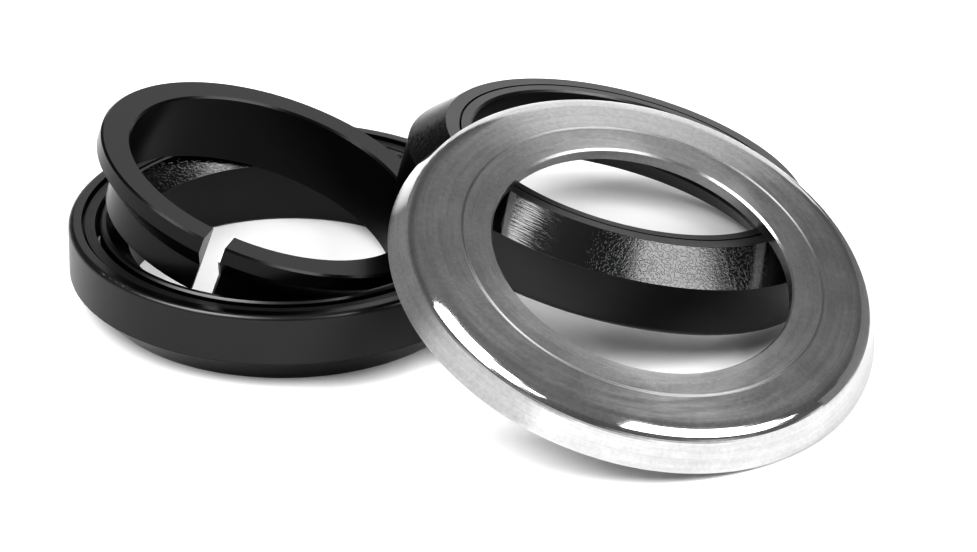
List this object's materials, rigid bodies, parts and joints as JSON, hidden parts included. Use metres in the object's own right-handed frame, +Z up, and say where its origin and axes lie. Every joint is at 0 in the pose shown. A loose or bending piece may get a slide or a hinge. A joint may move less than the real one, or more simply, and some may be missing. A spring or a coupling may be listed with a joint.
{
  "type": "bicycle headset",
  "caption": "Loose integrated headset set: two angular-contact cartridge bearings, a split compression ring and a turned dust cap.",
  "frame": {"origin": "centre of the flat bearing's underside, on the surface the set lies on", "axes": "+Z up, +X towards the leaning bearing and the cap, +Y away from the viewer"},
  "size_m": [0.0769, 0.0625, 0.0202],
  "materials": {
    "race_black": "black oxide",
    "seal": "matt",
    "cage": "matt",
    "ball": "polished",
    "ring_black": "black anodised",
    "cap_silver": "turned"
  },
  "bodies": {
    "root": {"upper_outer_race": "race_black", "upper_top_seal": "seal", "upper_bottom_seal": "seal", "lower_outer_race": "race_black", "lower_top_seal": "seal", "lower_bottom_seal": "seal", "compression_ring": "ring_black", "dust_cap": "cap_silver"},
    "upper_inner": {"upper_inner_race": "race_black"},
    "upper_rollers": {"upper_cage": "cage", "upper_ball_1": "ball", "upper_ball_2": "ball", "upper_ball_3": "ball", "upper_ball_4": "ball", "upper_ball_5": "ball", "upper_ball_6": "ball", "upper_ball_7": "ball", "upper_ball_8": "ball", "upper_ball_9": "ball", "upper_ball_10": "ball", "upper_ball_11": "ball", "upper_ball_12": "ball", "upper_ball_13": "ball", "upper_ball_14": "ball", "upper_ball_15": "ball", "upper_ball_16": "ball", "upper_ball_17": "ball", "upper_ball_18": "ball", "upper_ball_19": "ball", "upper_ball_20": "ball", "upper_ball_21": "ball", "upper_ball_22": "ball"},
    "lower_inner": {"lower_inner_race": "race_black"},
    "lower_rollers": {"lower_cage": "cage", "lower_ball_1": "ball", "lower_ball_2": "ball", "lower_ball_3": "ball", "lower_ball_4": "ball", "lower_ball_5": "ball", "lower_ball_6": "ball", "lower_ball_7": "ball", "lower_ball_8": "ball", "lower_ball_9": "ball", "lower_ball_10": "ball", "lower_ball_11": "ball", "lower_ball_12": "ball", "lower_ball_13": "ball", "lower_ball_14": "ball", "lower_ball_15": "ball", "lower_ball_16": "ball", "lower_ball_17": "ball", "lower_ball_18": "ball", "lower_ball_19": "ball", "lower_ball_20": "ball", "lower_ball_21": "ball", "lower_ball_22": "ball"}
  },
  "joints": [
    {"name": "upper_inner_spin", "type": "hinge", "parent": "root", "child": "upper_inner", "pos_m": [0, 0, 0.004], "axis": [0, 0, 1], "continuous": true},
    {"name": "upper_cage_spin", "type": "hinge", "parent": "root", "child": "upper_rollers", "pos_m": [0, 0, 0.004], "axis": [0, 0, 1], "continuous": true},
    {"name": "lower_inner_spin", "type": "hinge", "parent": "root", "child": "lower_inner", "pos_m": [0.0308, 0.00172, 0.00514], "axis": [0.2452, 0.0548, 0.9679], "continuous": true},
    {"name": "lower_cage_spin", "type": "hinge", "parent": "root", "child": "lower_rollers", "pos_m": [0.0308, 0.00172, 0.00514], "axis": [0.2452, 0.0548, 0.9679], "continuous": true}
  ],
  "couplings": [
    {"joint": "upper_cage_spin", "follows": "upper_inner_spin", "ratio": 0.46882},
    {"joint": "lower_cage_spin", "follows": "lower_inner_spin", "ratio": 0.46882}
  ]
}
